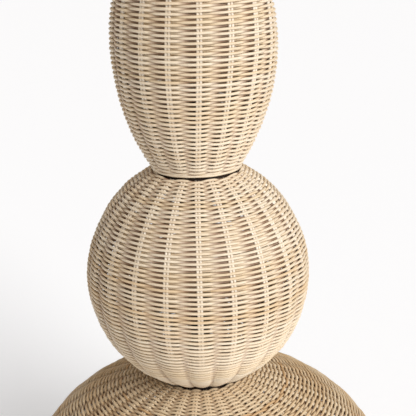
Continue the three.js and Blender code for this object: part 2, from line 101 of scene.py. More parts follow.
def moulded_rubber():
    # Nitrile rubber from a blasted mould: a dull black with a fine even grain and a dusty bloom.
    material, tree, shader = new_material("moulded_rubber")
    place = node(tree, "ShaderNodeTexCoord").outputs["Object"]
    grain = node(tree, "ShaderNodeTexNoise", {"Vector": place, "Scale": 2500.0, "Detail": 2.0})
    bloom = node(tree, "ShaderNodeTexNoise", {"Vector": place, "Scale": 60.0, "Detail": 4.0})
    black = node(tree, "ShaderNodeValToRGB", {"Fac": bloom.outputs["Fac"]},
                 stops=[(0.35, "#161616"), (0.7, "#2b2a28")])
    tree.links.new(black.outputs["Color"], shader.inputs["Base Color"])
    bump = node(tree, "ShaderNodeBump",
                {"Height": grain.outputs["Fac"], "Strength": 0.3, "Distance": 0.0002})
    tree.links.new(bump.outputs["Normal"], shader.inputs["Normal"])
    shader.inputs["Roughness"].default_value = 0.75
    shader.inputs["IOR"].default_value = 1.52
    return material


def complete(piece, node_names, material, body, smooth_angle=35):
    """Finishes a hard piece: shading, material, the body it rides on and the nodes it stands for."""
    bpy.ops.object.shade_smooth_by_angle(angle=math.radians(smooth_angle))
    piece.data.materials.clear()
    piece.data.materials.append(material)
    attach(piece, body)
    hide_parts(*node_names)
    return piece


MERGE_WITHIN = 1e-6
SHARP_ANGLE = math.radians(35)
FLAT_WITHIN = math.radians(0.5)


def break_edges(piece, width):
    """Bevels the sharp edges of the active piece."""
    bevel = piece.modifiers.new("edges", "BEVEL")
    bevel.width = width
    bevel.segments = 2
    bevel.limit_method = "ANGLE"
    bevel.angle_limit = SHARP_ANGLE
    bpy.ops.object.modifier_apply(modifier=bevel.name)


def deburred(node_name, material, body, edge=0.0004):
    """A copy of a CAD node, merged to whole faces, with its edges broken as on a real part."""
    bpy.ops.object.select_all(action="DESELECT")
    piece = bpy.data.objects.new(node_name + "_deburred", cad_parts[node_name].data.copy())
    bpy.context.scene.collection.objects.link(piece)
    piece.select_set(True)
    bpy.context.view_layer.objects.active = piece
    bpy.ops.object.mode_set(mode="EDIT")
    bpy.ops.mesh.select_all(action="SELECT")
    bpy.ops.mesh.remove_doubles(threshold=MERGE_WITHIN)
    bpy.ops.mesh.dissolve_limited(angle_limit=FLAT_WITHIN)
    bpy.ops.object.mode_set(mode="OBJECT")
    break_edges(piece, edge)
    return complete(piece, [node_name], material, body)


rubber = moulded_rubber()
for corner in range(1, 5):
    deburred(f"foot_{corner}", rubber, "stand", 0.0008)

# ------------------------------------------------------------------------------------------
# Base plate, pole and flange. Laser-cut plate, welded tube and a turned flange, all powder
# coated satin black; zinc-plated screws, coupler and stud hold them together.


def powder_coat():
    # Baked polyester powder: satin black over a soft orange peel about 1.5 mm across.
    material, tree, shader = new_material("powder_coated_steel")
    place = node(tree, "ShaderNodeTexCoord").outputs["Object"]
    peel = node(tree, "ShaderNodeTexNoise", {"Vector": place, "Scale": 650.0, "Detail": 1.0})
    dust = node(tree, "ShaderNodeTexNoise",
                {"Vector": place, "Scale": 45.0, "Detail": 6.0, "Roughness": 0.65})
    black = node(tree, "ShaderNodeValToRGB", {"Fac": dust.outputs["Fac"]},
                 stops=[(0.3, "#1b1b1c"), (0.75, "#2a2928")])
    tree.links.new(black.outputs["Color"], shader.inputs["Base Color"])
    rough = node(tree, "ShaderNodeMapRange", {"Value": dust.outputs["Fac"], "To Min": 0.34, "To Max": 0.52})
    tree.links.new(rough.outputs["Result"], shader.inputs["Roughness"])
    bump = node(tree, "ShaderNodeBump",
                {"Height": peel.outputs["Fac"], "Strength": 0.25, "Distance": 0.0003})
    tree.links.new(bump.outputs["Normal"], shader.inputs["Normal"])
    return material


def zinc_plate():
    # Bright zinc over turned steel: cool grey metal, slightly cloudy from the passivation.
    material, tree, shader = new_material("zinc_plated_steel")
    place = node(tree, "ShaderNodeTexCoord").outputs["Object"]
    cloud = node(tree, "ShaderNodeTexNoise", {"Vector": place, "Scale": 180.0, "Detail": 5.0})
    grey = node(tree, "ShaderNodeValToRGB", {"Fac": cloud.outputs["Fac"]},
                stops=[(0.3, "#a9adb1"), (0.7, "#c9c8c0")])
    tree.links.new(grey.outputs["Color"], shader.inputs["Base Color"])
    rough = node(tree, "ShaderNodeMapRange", {"Value": cloud.outputs["Fac"], "To Min": 0.22, "To Max": 0.42})
    tree.links.new(rough.outputs["Result"], shader.inputs["Roughness"])
    shader.inputs["Metallic"].default_value = 1.0
    return material


black_coat = powder_coat()
zinc = zinc_plate()
for name in ("base_plate", "pole_flange"):
    deburred(name, black_coat, "stand", 0.0006)
for name in ("pole_lower", "pole_upper"):
    deburred(name, black_coat, "stand", 0.0003)
for number in range(1, 5):
    deburred(f"flange_screw_{number}", zinc, "stand", 0.0003)
for name in ("pole_coupler", "grub_screw_lower", "grub_screw_upper", "clamp_stud"):
    deburred(name, zinc, "stand", 0.0003)

# ------------------------------------------------------------------------------------------
# Base basket. Round rattan core a little over 3 mm thick: one weaver goes round in front
# of one pair of stakes and behind the next. An odd number of pairs makes it change sides on
# each round, so the whole wall is one spiral. Its foot is closed by a three-rod border. The
# stakes take the palest, near-white tone of the reed's colours: a paler reed, brightened further as a painted
# highlight.
REED = 0.0035
STAKE = 0.0036
WALL = 0.0094
ROW_PITCH = 0.00295
STAKE_SPACING = 0.0037
WEAVE_DEPTH = 0.0025
FLAT_BAND = 0.016
STAKE_STRAY = math.radians(0.35)
# Near-white tone for the stakes: a paler reed, brightened further as a painted highlight.
STAKE_TONE = 0.99
POINTS_PER_PAIR = 7
REED_SIDES = 6
GRAIN_SHIFT = 7.3
DENTS = (0.0010, 0.0007)
SAGS = (0.0009, 0.0006)
ROW_WANDER = 0.00022
DEPTH_WANDER = 0.00018
THICKNESS_WANDER = 0.045
QUIET_END = 0.02
REED_LENGTHS = (0.6, 3.4)
WEAVER_TONES = 0.94
STAKE_END = 0.0012
STAKE_POINTS = 64
STAKE_WANDER = 0.0002


class WallLine:
    """The middle of a basket's wall from foot to rim, as a superellipse above and below its widest
    ring. A tucked rim ends in a flat collar turned inwards under the next basket."""

    def __init__(self, cad_node, widest, foot_radius, rim_radius, down, up, tuck=0.0):
        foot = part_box(cad_node)[0].z
        drop = down[0] * (1 - (foot_radius / widest) ** down[1]) ** (1 / down[1])
        rise = up[0] * (1 - (rim_radius / widest) ** up[1]) ** (1 / up[1])
        turn = np.linspace(0, np.pi, 1200)
        height = (rise - drop) / 2 - (rise + drop) / 2 * np.cos(turn)
        reach = np.where(height > 0, up[0], down[0])
        power = np.where(height > 0, up[1], down[1])
        radius = widest * (1 - np.abs(height / reach) ** power) ** (1 / power)
        if tuck:
            heading = np.array([radius[-1] - radius[-2], height[-1] - height[-2]])
            bend = tuck * 0.45 * heading / np.linalg.norm(heading)
            part = np.linspace(0.02, 1, 60)
            radius = np.append(radius, rim_radius + 2 * part * (1 - part) * bend[0] - part * part * tuck)
            height = np.append(height, rise + 2 * part * (1 - part) * bend[1])
        steps = np.hypot(np.diff(radius), np.diff(height))
        along = np.concatenate([[0], np.cumsum(steps)])
        even = np.linspace(0, along[-1], 1500)
        radius = np.interp(even, along, radius)
        height = np.interp(even, along, height)
        slope_r = np.gradient(radius)
        slope_z = np.gradient(height)
        size = np.hypot(slope_r, slope_z)
        self.out_r = slope_z / size
        self.out_z = -slope_r / size
        self.radius = radius - WALL / 2 * self.out_r
        self.height = height + foot + drop - WALL / 2 * self.out_z
        steps = np.hypot(np.diff(self.radius), np.diff(self.height))
        self.along = np.concatenate([[0], np.cumsum(steps)])
        self.length = self.along[-1]

    def at(self, along, offset):
        """Radius and height at a distance up the wall, moved out by offset."""
        radius = np.interp(along, self.along, self.radius) + offset * np.interp(along, self.along, self.out_r)
        height = np.interp(along, self.along, self.height) + offset * np.interp(along, self.along, self.out_z)
        return radius, height


def wander(rng, count, size, per_knot):
    """A smooth random run of numbers, one for each point, with a knot every per_knot points."""
    knots = rng.normal(0, size, max(4, int(count / per_knot) + 2))
    place = np.linspace(0, len(knots) - 1, count)
    left = np.clip(place.astype(int), 0, len(knots) - 2)
    part = place - left
    ease = part * part * (3 - 2 * part)
    return knots[left] * (1 - ease) + knots[left + 1] * ease


def reed_piece(name, strands, material, body="stand"):
    """Reeds as round tubes. A strand is (points, radii, tone, depth); tone colours it, and a low depth
    darkens it with painted shade.
    """
    curve = bpy.data.curves.new(name, "CURVE")
    curve.dimensions = "3D"
    curve.bevel_depth = 1.0
    curve.bevel_resolution = REED_SIDES // 2 - 2
    curve.use_fill_caps = True
    for points, radii, tone, depth in strands:
        spline = curve.splines.new("POLY")
        spline.points.add(len(points) - 1)
        spline.points.foreach_set("co", np.column_stack([points, np.ones(len(points))]).ravel())
        spline.points.foreach_set("radius", radii)
    piece = bpy.data.objects.new(name, curve)
    bpy.context.scene.collection.objects.link(piece)
    bpy.ops.object.select_all(action="DESELECT")
    piece.select_set(True)
    bpy.context.view_layer.objects.active = piece
    bpy.ops.object.convert(target="MESH")
    mesh = piece.data
    count = len(mesh.vertices)
    grain = np.zeros((count, 3))
    tones = np.zeros(count)
    depths = np.ones(count)
    start = 0
    for points, radii, tone, depth in strands:
        rings = len(points)
        ring = np.minimum(np.arange((rings + 2) * REED_SIDES) // REED_SIDES, rings - 1)
        side = np.arange((rings + 2) * REED_SIDES) % REED_SIDES * 2 * np.pi / REED_SIDES
        run = np.concatenate([[0], np.cumsum(np.linalg.norm(np.diff(points, axis=0), axis=1))])
        stop = start + len(ring)
        grain[start:stop, 0] = REED / 2 * np.cos(side)
        grain[start:stop, 1] = REED / 2 * np.sin(side)
        grain[start:stop, 2] = run[ring] + GRAIN_SHIFT * tone[0]
        tones[start:stop] = tone[ring]
        depths[start:stop] = depth[ring]
        start = stop
    mesh.attributes.new("grain", "FLOAT_VECTOR", "POINT").data.foreach_set("vector", grain.ravel())
    mesh.attributes.new("tone", "FLOAT", "POINT").data.foreach_set("value", tones)
    mesh.attributes.new("depth", "FLOAT", "POINT").data.foreach_set("value", depths)
    bpy.ops.object.mode_set(mode="EDIT")
    bpy.ops.mesh.select_all(action="SELECT")
    bpy.ops.mesh.remove_doubles(threshold=MERGE_WITHIN)
    bpy.ops.object.mode_set(mode="OBJECT")
    bpy.ops.object.shade_smooth()
    mesh.materials.clear()
    mesh.materials.append(material)
    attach(piece, body)
    return piece


def weave(name, wall, pairs, front, lean, lopsided, parts, material, seed, first_row=REED * 0.1,
          flat_ends=(1, 1), uneven=STAKE_STRAY):
    """Weaves a basket: the spiral weaver in some parts, and its pairs of stakes. The weaver
    starts and ends at the back. flat_ends is the share of the wave left at the foot and the rim.
    uneven is how far, in radians, the pairs of stakes stray from even spacing."""
    rng = np.random.default_rng(seed)
    modes = [(m, rng.uniform(0, 2 * np.pi), uneven) for m in (2, 3, 5)]

    def stray(angle):
        return sum(size * np.sin(m * angle + shift) for m, shift, size in modes)

    def place(angle, along, offset):
        radius, height = wall.at(along, offset)
        rise = along / wall.length
        dent = DENTS[0] * np.sin(2 * angle + 5 * rise) + DENTS[1] * np.sin(3 * angle - 9 * rise + seed)
        radius = radius + dent * np.sin(np.pi * np.clip(rise, 0, 1))
        shift = lopsided * np.sin(np.pi * np.clip(rise, 0, 1))
        return np.column_stack([shift + radius * np.cos(angle), radius * np.sin(angle), height])

    rounds = (wall.length - first_row - REED * 0.6) / ROW_PITCH
    count = int(rounds * pairs * POINTS_PER_PAIR)
    turn = np.linspace(0, rounds, count)
    angle = np.pi / 2 + 2 * np.pi * turn
    sag = SAGS[0] * np.sin(2 * angle + 1.3) + SAGS[1] * np.sin(3 * angle + 4)
    per_round = pairs * POINTS_PER_PAIR
    along = first_row + turn * ROW_PITCH
    ends = np.clip(np.minimum(along, wall.length - along) / QUIET_END, 0, 1)
    along = along + (sag + wander(rng, count, ROW_WANDER, per_round / 5)) * ends
    phase = pairs / 2 * (angle - front - stray(angle) + lean * along / wall.length)
    wave = np.cos(phase)
    wave = wave * (1.2 - 0.2 * wave * wave)
    foot_part = np.clip(along / FLAT_BAND, 0, 1)
    rim_part = np.clip((wall.length - along) / FLAT_BAND, 0, 1)
    swing = (flat_ends[0] + (1 - flat_ends[0]) * foot_part) * (flat_ends[1] + (1 - flat_ends[1]) * rim_part)
    lift = WEAVE_DEPTH * (1 - swing)
    offset = WEAVE_DEPTH * swing * wave + lift + wander(rng, count, DEPTH_WANDER, per_round / 7)
    points = place(angle, along, offset)
    radii = REED / 2 * (1 + wander(rng, count, THICKNESS_WANDER, per_round / 2))
    run = np.concatenate([[0], np.cumsum(np.linalg.norm(np.diff(points, axis=0), axis=1))])
    joins = np.cumsum(rng.uniform(*REED_LENGTHS, int(run[-1] / REED_LENGTHS[0]) + 4))
    reed_tones = rng.uniform(0, WEAVER_TONES, len(joins) + 1)
    tone = reed_tones[np.searchsorted(joins, run)]
    # depth is low where the weaver dips behind a stake; the material paints shade there.
    depth = 0.5 + 0.5 * wave

    pieces = []
    cuts = np.linspace(0, count - 1, parts + 1).astype(int)
    for i in range(parts):
        span = slice(cuts[i], cuts[i + 1] + 1)
        strand = (points[span], radii[span], tone[span], depth[span])
        pieces.append(reed_piece(f"{name}_weaver_{i + 1}", [strand], material))

    stakes = []
    for k in range(pairs):
        for side in (-1, 1):
            climb = np.linspace(STAKE_END, wall.length - STAKE_END, STAKE_POINTS)
            middle = 2 * np.pi * k / pairs
            radius, _ = wall.at(climb, 0)
            bearing = front + middle + stray(front + middle) - lean * climb / wall.length
            bearing = bearing + side * STAKE_SPACING / 2 / radius
            bow = wander(rng, len(climb), STAKE_WANDER, 8)
            stake_radii = np.full(len(climb), STAKE / 2)
            shade = np.full(len(climb), STAKE_TONE)
            stakes.append((place(bearing, climb, bow), stake_radii, shade, np.ones(len(climb))))
    pieces.append(reed_piece(f"{name}_stakes", stakes, material))
    return pieces


def peeled_rattan(name, reed_colours, recess_shade_colour):
    # Peeled rattan core, split from the cane and drawn round: cream to straw, each length its own
    # tone, a soft satin, and painted brown shade where it dips behind the stakes. Its darker fibres run along
    # it about 0.4 mm apart, coarser than real ones, to show.
    material, tree, shader = new_material(name)
    grain = node(tree, "ShaderNodeAttribute", attribute_name="grain").outputs["Vector"]
    tone = node(tree, "ShaderNodeAttribute", attribute_name="tone").outputs["Fac"]
    depth = node(tree, "ShaderNodeAttribute", attribute_name="depth").outputs["Fac"]
    stretched = node(tree, "ShaderNodeMapping", {"Vector": grain, "Scale": (1.0, 1.0, 0.03)})
    fibres = node(tree, "ShaderNodeTexNoise",
                  {"Vector": stretched.outputs["Vector"], "Scale": 2600.0, "Detail": 3.0})
    fibre = fibres.outputs["Fac"]
    patch = node(tree, "ShaderNodeTexNoise", {"Vector": grain, "Scale": 22.0, "Detail": 3.0}).outputs["Fac"]
    reed = node(tree, "ShaderNodeValToRGB", {"Fac": tone}, stops=reed_colours).outputs["Color"]
    patches = node(tree, "ShaderNodeValToRGB", {"Fac": patch}, stops=[(0.5, "#000000"), (0.85, "#9a9a9a")])
    patched = node(tree, "ShaderNodeMixRGB",
                   {"Fac": patches.outputs["Color"], "Color1": reed, "Color2": linear("#b98a58")})
    streaks = node(tree, "ShaderNodeValToRGB", {"Fac": fibre}, stops=[(0.3, "#b0b0b0"), (0.62, "#000000")])
    streaked = node(tree, "ShaderNodeMixRGB",
                    {"Fac": streaks.outputs["Color"], "Color1": patched.outputs["Color"],
                     "Color2": linear("#c2a06f")})
    # Painted shade: where depth is low, the reed colour is mixed towards a dark brown.
    recess_shade_amount = node(tree, "ShaderNodeMapRange",
                  {"Value": depth, "From Min": 0.0, "From Max": 0.3, "To Min": 0.75, "To Max": 0.0})
    painted_recess_shade = node(tree, "ShaderNodeMixRGB",
                 {"Fac": recess_shade_amount.outputs["Result"], "Color1": streaked.outputs["Color"],
                  "Color2": linear(recess_shade_colour)})
    tree.links.new(painted_recess_shade.outputs["Color"], shader.inputs["Base Color"])
    rough = node(tree, "ShaderNodeMapRange", {"Value": fibre, "To Min": 0.42, "To Max": 0.62})
    tree.links.new(rough.outputs["Result"], shader.inputs["Roughness"])
    bump = node(tree, "ShaderNodeBump", {"Height": fibre, "Strength": 0.35, "Distance": 0.0002})
    tree.links.new(bump.outputs["Normal"], shader.inputs["Normal"])
    shader.inputs["IOR"].default_value = 1.5
    return material


def plywood():
    # Birch plywood stained dark, so that it doesn't show in the necks: brown-black grain lines.
    material, tree, shader = new_material("stained_birch_plywood")
    place = node(tree, "ShaderNodeTexCoord").outputs["Object"]
    along = node(tree, "ShaderNodeMapping", {"Vector": place, "Scale": (1.0, 12.0, 1.0)}).outputs["Vector"]
    grain = node(tree, "ShaderNodeTexNoise",
                 {"Vector": along, "Scale": 70.0, "Detail": 6.0, "Distortion": 0.4})
    wood = node(tree, "ShaderNodeValToRGB", {"Fac": grain.outputs["Fac"]},
                stops=[(0.3, "#22140b"), (0.55, "#3a2415"), (0.75, "#4a3120")])
    tree.links.new(wood.outputs["Color"], shader.inputs["Base Color"])
    bump = node(tree, "ShaderNodeBump", {"Height": grain.outputs["Fac"], "Strength": 0.2, "Distance": 0.0003})
    tree.links.new(bump.outputs["Normal"], shader.inputs["Normal"])
    shader.inputs["Roughness"].default_value = 0.7
    return material


BINDING = 0.0011
BORDER_PITCH = 0.026
BORDER_TWIST = 0.0021
BORDER_RISE = 0.0045


def bound_hoop(node_name, material, seed):
    """A cane hoop, bound all the way round with thinner reed."""
    low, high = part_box(node_name)
    thickness = (high.z - low.z) / 2 / math.sin(math.radians(60))
    middle = high.x - thickness
    height = (low.z + high.z) / 2
    rng = np.random.default_rng(seed)
    turns = round(2 * math.pi * middle / (2.1 * BINDING))
    angle = np.linspace(0, 2 * np.pi, turns * 9)
    coil = turns * angle
    strands = []
    for lift, thick in ((0.0, thickness - 2 * BINDING), (thickness - BINDING, BINDING)):
        radius = middle + lift * np.cos(coil)
        level = height + lift * np.sin(coil)
        points = np.column_stack([radius * np.cos(angle), radius * np.sin(angle), level])
        tone = np.full(len(angle), rng.uniform(0.3, 0.9))
        strands.append((points, np.full(len(angle), thick), tone, np.ones(len(angle))))
    piece = reed_piece(node_name + "_bound", strands, material)
    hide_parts(node_name)


def edge_reed(name, radius, height, material, seed):
    """One reed laid round the very end of a wall, tacked to the stakes."""
    rng = np.random.default_rng(seed)
    angle = np.linspace(0, 2 * np.pi, 240)
    height = height + wander(rng, len(angle), 0.0003, 12)
    points = np.column_stack([radius * np.cos(angle), radius * np.sin(angle), height])
    points[-1] = points[0]
    even = np.ones(len(angle))
    return reed_piece(name, [(points, even * REED / 2, even * 0.6, even)], material)


def foot_border(name, wall, rise, material, seed):
    """Three reeds twisted round each other along the wall's foot."""
    rng = np.random.default_rng(seed)
    radius, height = wall.at(rise, 0.0)
    turns = round(2 * math.pi * radius / BORDER_PITCH)
    angle = np.linspace(0, 2 * np.pi, turns * 10)
    strands = []
    for number in range(3):
        twist = turns * angle + 2 * np.pi * number / 3
        out = radius + BORDER_TWIST * np.cos(twist)
        level = height + BORDER_TWIST * np.sin(twist)
        points = np.column_stack([out * np.cos(angle), out * np.sin(angle), level])
        tone = np.full(len(angle), rng.uniform(0, 1))
        strands.append((points, np.full(len(angle), REED / 2), tone, np.ones(len(angle))))
    return reed_piece(name, strands, material)


# The last stop, near white, colours the stakes: a paler reed with a painted highlight.
BASE_REEDS = [(0.0, "#cba679"), (0.05, "#d8bf9b"), (0.45, "#dcc6a6"), (0.8, "#e0cdaf"),
              (0.95, "#d5bc98"), (0.98, "#ecdfc8")]
NECK_TUCK = 0.008
BORDER_ROOM = 0.0105
# The base basket's rattan: a darker, browner copy of the reed colours, with a darker painted recess shade.
base_rattan = peeled_rattan("peeled_rattan_darker", BASE_REEDS, "#5c2f10")
base_wall = WallLine("base_basket", 0.246, 0.156, 0.0625, down=(0.152, 1.9), up=(0.1545, 1.9),
                     tuck=NECK_TUCK)
base_pieces = weave("base_basket", base_wall, pairs=31, front=math.radians(-85), lean=math.radians(1.0),
                    lopsided=0.005, parts=3, material=base_rattan, seed=31, first_row=BORDER_ROOM,
                    flat_ends=(1, 0.5))
base_pieces.append(foot_border("base_basket_border", base_wall, BORDER_RISE, base_rattan, 4))
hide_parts("base_basket")
bound_hoop("base_foot_hoop", base_rattan, 5)
bound_hoop("base_neck_hoop", base_rattan, 6)
birch = plywood()
deburred("base_neck_disc", birch, "stand")
deburred("lower_neck_washer", rubber, "stand", 0.0002)

# ------------------------------------------------------------------------------------------
# Ball basket. The same weave on 21 pairs of stakes, threaded on the pole above the base.
# The last stop, near white, colours the stakes: a paler reed with a painted highlight.
BALL_REEDS = [(0.0, "#dbb88c"), (0.04, "#e8d5b6"), (0.35, "#ecdcc3"), (0.75, "#f0e4cf"),
              (0.95, "#e7d3b6"), (0.98, "#fbf4e8")]
# The last colour is the painted shade in the weave's recesses.
ball_rattan = peeled_rattan("peeled_rattan_pale", BALL_REEDS, "#693512")
ball_wall = WallLine("ball_basket", 0.1465, 0.0625, 0.060, down=(0.156, 2.03), up=(0.156, 1.98),
                     tuck=NECK_TUCK)
ball_pieces = weave("ball_basket", ball_wall, pairs=21, front=math.radians(-88.8), lean=math.radians(0.5),
                    lopsided=-0.001, parts=2, material=ball_rattan, seed=21, flat_ends=(0.8, 0.3))
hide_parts("ball_basket")
bound_hoop("ball_foot_hoop", ball_rattan, 7)
bound_hoop("ball_neck_hoop", ball_rattan, 8)
deburred("ball_foot_disc", birch, "stand")
deburred("ball_neck_disc", birch, "stand")
deburred("upper_neck_washer", rubber, "stand", 0.0002)

# ------------------------------------------------------------------------------------------
# Egg basket. 17 pairs of stakes, the longest of the three. Its rim is a hoop bound with reed.
FOOT_REED_RADIUS = 0.0566
FOOT_REED_RISE = 0.0004
egg_wall = WallLine("egg_basket", 0.1045, 0.058, 0.062, down=(0.2025, 1.8), up=(0.2025, 1.8))
egg_pieces = weave("egg_basket", egg_wall, pairs=17, front=math.radians(-87.8), lean=math.radians(-4.5),
                   lopsided=0.0, parts=2, material=ball_rattan, seed=17, flat_ends=(0.2, 0.6),
                   uneven=math.radians(-0.15))
egg_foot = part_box("egg_basket")[0].z + FOOT_REED_RISE
egg_pieces.append(edge_reed("egg_basket_foot_reed", FOOT_REED_RADIUS, egg_foot, ball_rattan, 3))
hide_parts("egg_basket")
bound_hoop("egg_foot_hoop", ball_rattan, 9)
bound_hoop("egg_rim_hoop", ball_rattan, 10)
deburred("egg_foot_disc", birch, "stand")

# ------------------------------------------------------------------------------------------
# Canister cup. Spun from 1.5 mm steel sheet and powder coated: a flat flange with a
# turned-down lip covers the egg's rim, and one nut on the stud clamps the whole stack.


def turn(name, outline, steps=120):
    """A round piece: its outline, as (radius, height), is drawn point by point and spun round
    the pole's axis. An outline that doesn't start on the axis comes back to its start."""
    bpy.ops.object.select_all(action="DESELECT")
    bpy.ops.mesh.primitive_plane_add(size=0.001, location=(outline[0][0], 0, outline[0][1]))
    piece = bpy.context.object
    piece.name = name
    bpy.ops.object.transform_apply(location=True)
    bpy.ops.object.mode_set(mode="EDIT")
    bpy.ops.mesh.select_all(action="SELECT")
    bpy.ops.mesh.merge(type="CENTER")
    for here, there in zip(outline, outline[1:]):
        move = (there[0] - here[0], 0, there[1] - here[1])
        bpy.ops.mesh.extrude_region_move(TRANSFORM_OT_translate={"value": move})
    bpy.ops.mesh.select_all(action="SELECT")
    bpy.ops.mesh.spin(steps=steps, angle=2 * math.pi, center=(0, 0, 0), axis=(0, 0, 1))
    bpy.ops.mesh.select_all(action="SELECT")
    bpy.ops.mesh.remove_doubles(threshold=2e-6)
    bpy.ops.mesh.normals_make_consistent(inside=False)
    bpy.ops.object.mode_set(mode="OBJECT")
    return piece


def arc(middle, radius, start, end, steps):
    """Points of an arc in the outline's plane, from one angle in degrees to another."""
    angles = np.radians(np.linspace(start, end, steps + 1))
    return [(middle[0] + radius[0] * math.cos(a), middle[1] + radius[1] * math.sin(a)) for a in angles]


CUP_WALL = 0.0015
CUP_RADIUS = 0.046
CUP_BEND = 0.003
CUP_LIP = 0.006
STUD_HOLE = 0.0065
cup_low, cup_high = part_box("canister_cup")
top = cup_high.z
side = CUP_RADIUS + CUP_WALL
lip = cup_high.x
cup_outline = [(STUD_HOLE, cup_low.z)]
cup_outline += arc((side - CUP_BEND, cup_low.z + CUP_BEND), (CUP_BEND, CUP_BEND), -90, 0, 5)
cup_outline += [(side, top - CUP_WALL), (lip - CUP_WALL, top - CUP_WALL), (lip - CUP_WALL, top - CUP_LIP)]
cup_outline += arc((lip - CUP_WALL / 2, top - CUP_LIP), (CUP_WALL / 2, CUP_WALL / 2), -180, 0, 5)
cup_outline += arc((lip - CUP_WALL, top - CUP_WALL), (CUP_WALL, CUP_WALL), 0, 90, 5)
cup_outline += arc((side, top - CUP_WALL), (CUP_WALL, CUP_WALL), 90, 180, 5)
cup_outline += [(CUP_RADIUS, cup_low.z + CUP_BEND), (CUP_RADIUS - CUP_BEND, cup_low.z + CUP_WALL)]
cup_outline += [(STUD_HOLE, cup_low.z + CUP_WALL), (STUD_HOLE, cup_low.z)]
complete(turn("cup_shell", cup_outline), ["canister_cup"], black_coat, "stand")
deburred("clamp_washer", zinc, "stand", 0.0003)
deburred("clamp_nut", zinc, "stand", 0.0006)
deburred("rest_ring", rubber, "stand", 0.0008)

# ------------------------------------------------------------------------------------------
# Oil canister. Pressed steel, powder coated, with two rolled beads round the body and a neck
# for the screw cap, sealed by a rubber ring.
CANISTER_WALL = 0.0012
CANISTER_BEND = 0.004
CANISTER_NECK = 0.022
NECK_WALL = 0.003
NECK_HEIGHT = 0.012
SHOULDER = 0.014
BEAD = 0.0009
LOW_BEAD = 0.012
HIGH_BEAD = 0.003
THREAD_START = 0.0075
THREAD_PITCH = 0.003
THREAD_SIZE = (0.0008, 0.0009)
can_low, can_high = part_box("oil_canister")
wide = can_high.x
neck_inner = CANISTER_NECK - NECK_WALL
shoulder_top = can_high.z - NECK_HEIGHT
shoulder_low = shoulder_top - SHOULDER
can_outline = [(0, can_low.z)]
can_outline += arc((wide - BEAD - CANISTER_BEND, can_low.z + CANISTER_BEND),
                   (CANISTER_BEND, CANISTER_BEND), -90, 0, 5)
for bead_z in (can_low.z + LOW_BEAD, shoulder_low - HIGH_BEAD):
    can_outline += arc((wide - BEAD, bead_z), (BEAD, 2 * BEAD), -90, 90, 6)
can_outline += arc((CANISTER_NECK, shoulder_low), (wide - BEAD - CANISTER_NECK, SHOULDER), 0, 90, 14)
for thread in range(2):
    thread_z = can_high.z - THREAD_START + thread * THREAD_PITCH
    can_outline += arc((CANISTER_NECK, thread_z), THREAD_SIZE, -90, 90, 4)
can_outline += [(CANISTER_NECK, can_high.z), (neck_inner, can_high.z)]
inner_wide = wide - BEAD - CANISTER_WALL
can_floor = can_low.z + CANISTER_WALL
can_outline += arc((neck_inner, shoulder_low), (inner_wide - neck_inner, SHOULDER - CANISTER_WALL), 90, 0, 10)
can_outline += [(inner_wide, can_low.z + CANISTER_BEND), (inner_wide - CANISTER_BEND, can_floor)]
can_outline += [(0, can_floor)]
complete(turn("canister_shell", can_outline), ["oil_canister"], black_coat, "canister")
deburred("cap_gasket", rubber, "gasket", 0.0003)

# ------------------------------------------------------------------------------------------
# Burner cap and wick tube. Turned from brass bar: the cap's skirt is fluted for the fingers,
# and the tube has a collar that is soldered to the cap.


def brass(name, marks_round_axis):
    # Unlacquered brass: warm yellow metal that dulls to brown in patches. Lathe marks run round
    # turned pieces; rolled strip has them along its length. They are drawn 0.4 mm apart, to show.
    material, tree, shader = new_material(name)
    place = node(tree, "ShaderNodeTexCoord").outputs["Object"]
    tarnish = node(tree, "ShaderNodeTexNoise",
                   {"Vector": place, "Scale": 90.0, "Detail": 6.0, "Roughness": 0.6})
    colour = node(tree, "ShaderNodeValToRGB", {"Fac": tarnish.outputs["Fac"]},
                  stops=[(0.3, "#8a7140"), (0.5, "#b59a5e"), (0.7, "#cab077")])
    tree.links.new(colour.outputs["Color"], shader.inputs["Base Color"])
    rough = node(tree, "ShaderNodeMapRange", {"Value": tarnish.outputs["Fac"], "To Min": 0.42, "To Max": 0.2})
    tree.links.new(rough.outputs["Result"], shader.inputs["Roughness"])
    if marks_round_axis:
        split = node(tree, "ShaderNodeSeparateXYZ", {"Vector": place})
        flat = node(tree, "ShaderNodeCombineXYZ", {"X": split.outputs["X"], "Y": split.outputs["Y"]})
        reach = node(tree, "ShaderNodeVectorMath", {"Vector": flat.outputs["Vector"]}, operation="LENGTH")
        both = node(tree, "ShaderNodeMath", {0: reach.outputs["Value"], 1: split.outputs["Z"]},
                    operation="ADD")
        lines = node(tree, "ShaderNodeCombineXYZ", {"X": both.outputs["Value"]}).outputs["Vector"]
    else:
        drawn = node(tree, "ShaderNodeMapping", {"Vector": place, "Scale": (0.05, 1.0, 0.05)})
        lines = drawn.outputs["Vector"]
    marks = node(tree, "ShaderNodeTexNoise", {"Vector": lines, "Scale": 2500.0, "Detail": 2.0})
    bump = node(tree, "ShaderNodeBump",
                {"Height": marks.outputs["Fac"], "Strength": 0.25, "Distance": 0.0001})
    tree.links.new(bump.outputs["Normal"], shader.inputs["Normal"])
    shader.inputs["Metallic"].default_value = 1.0
    return material


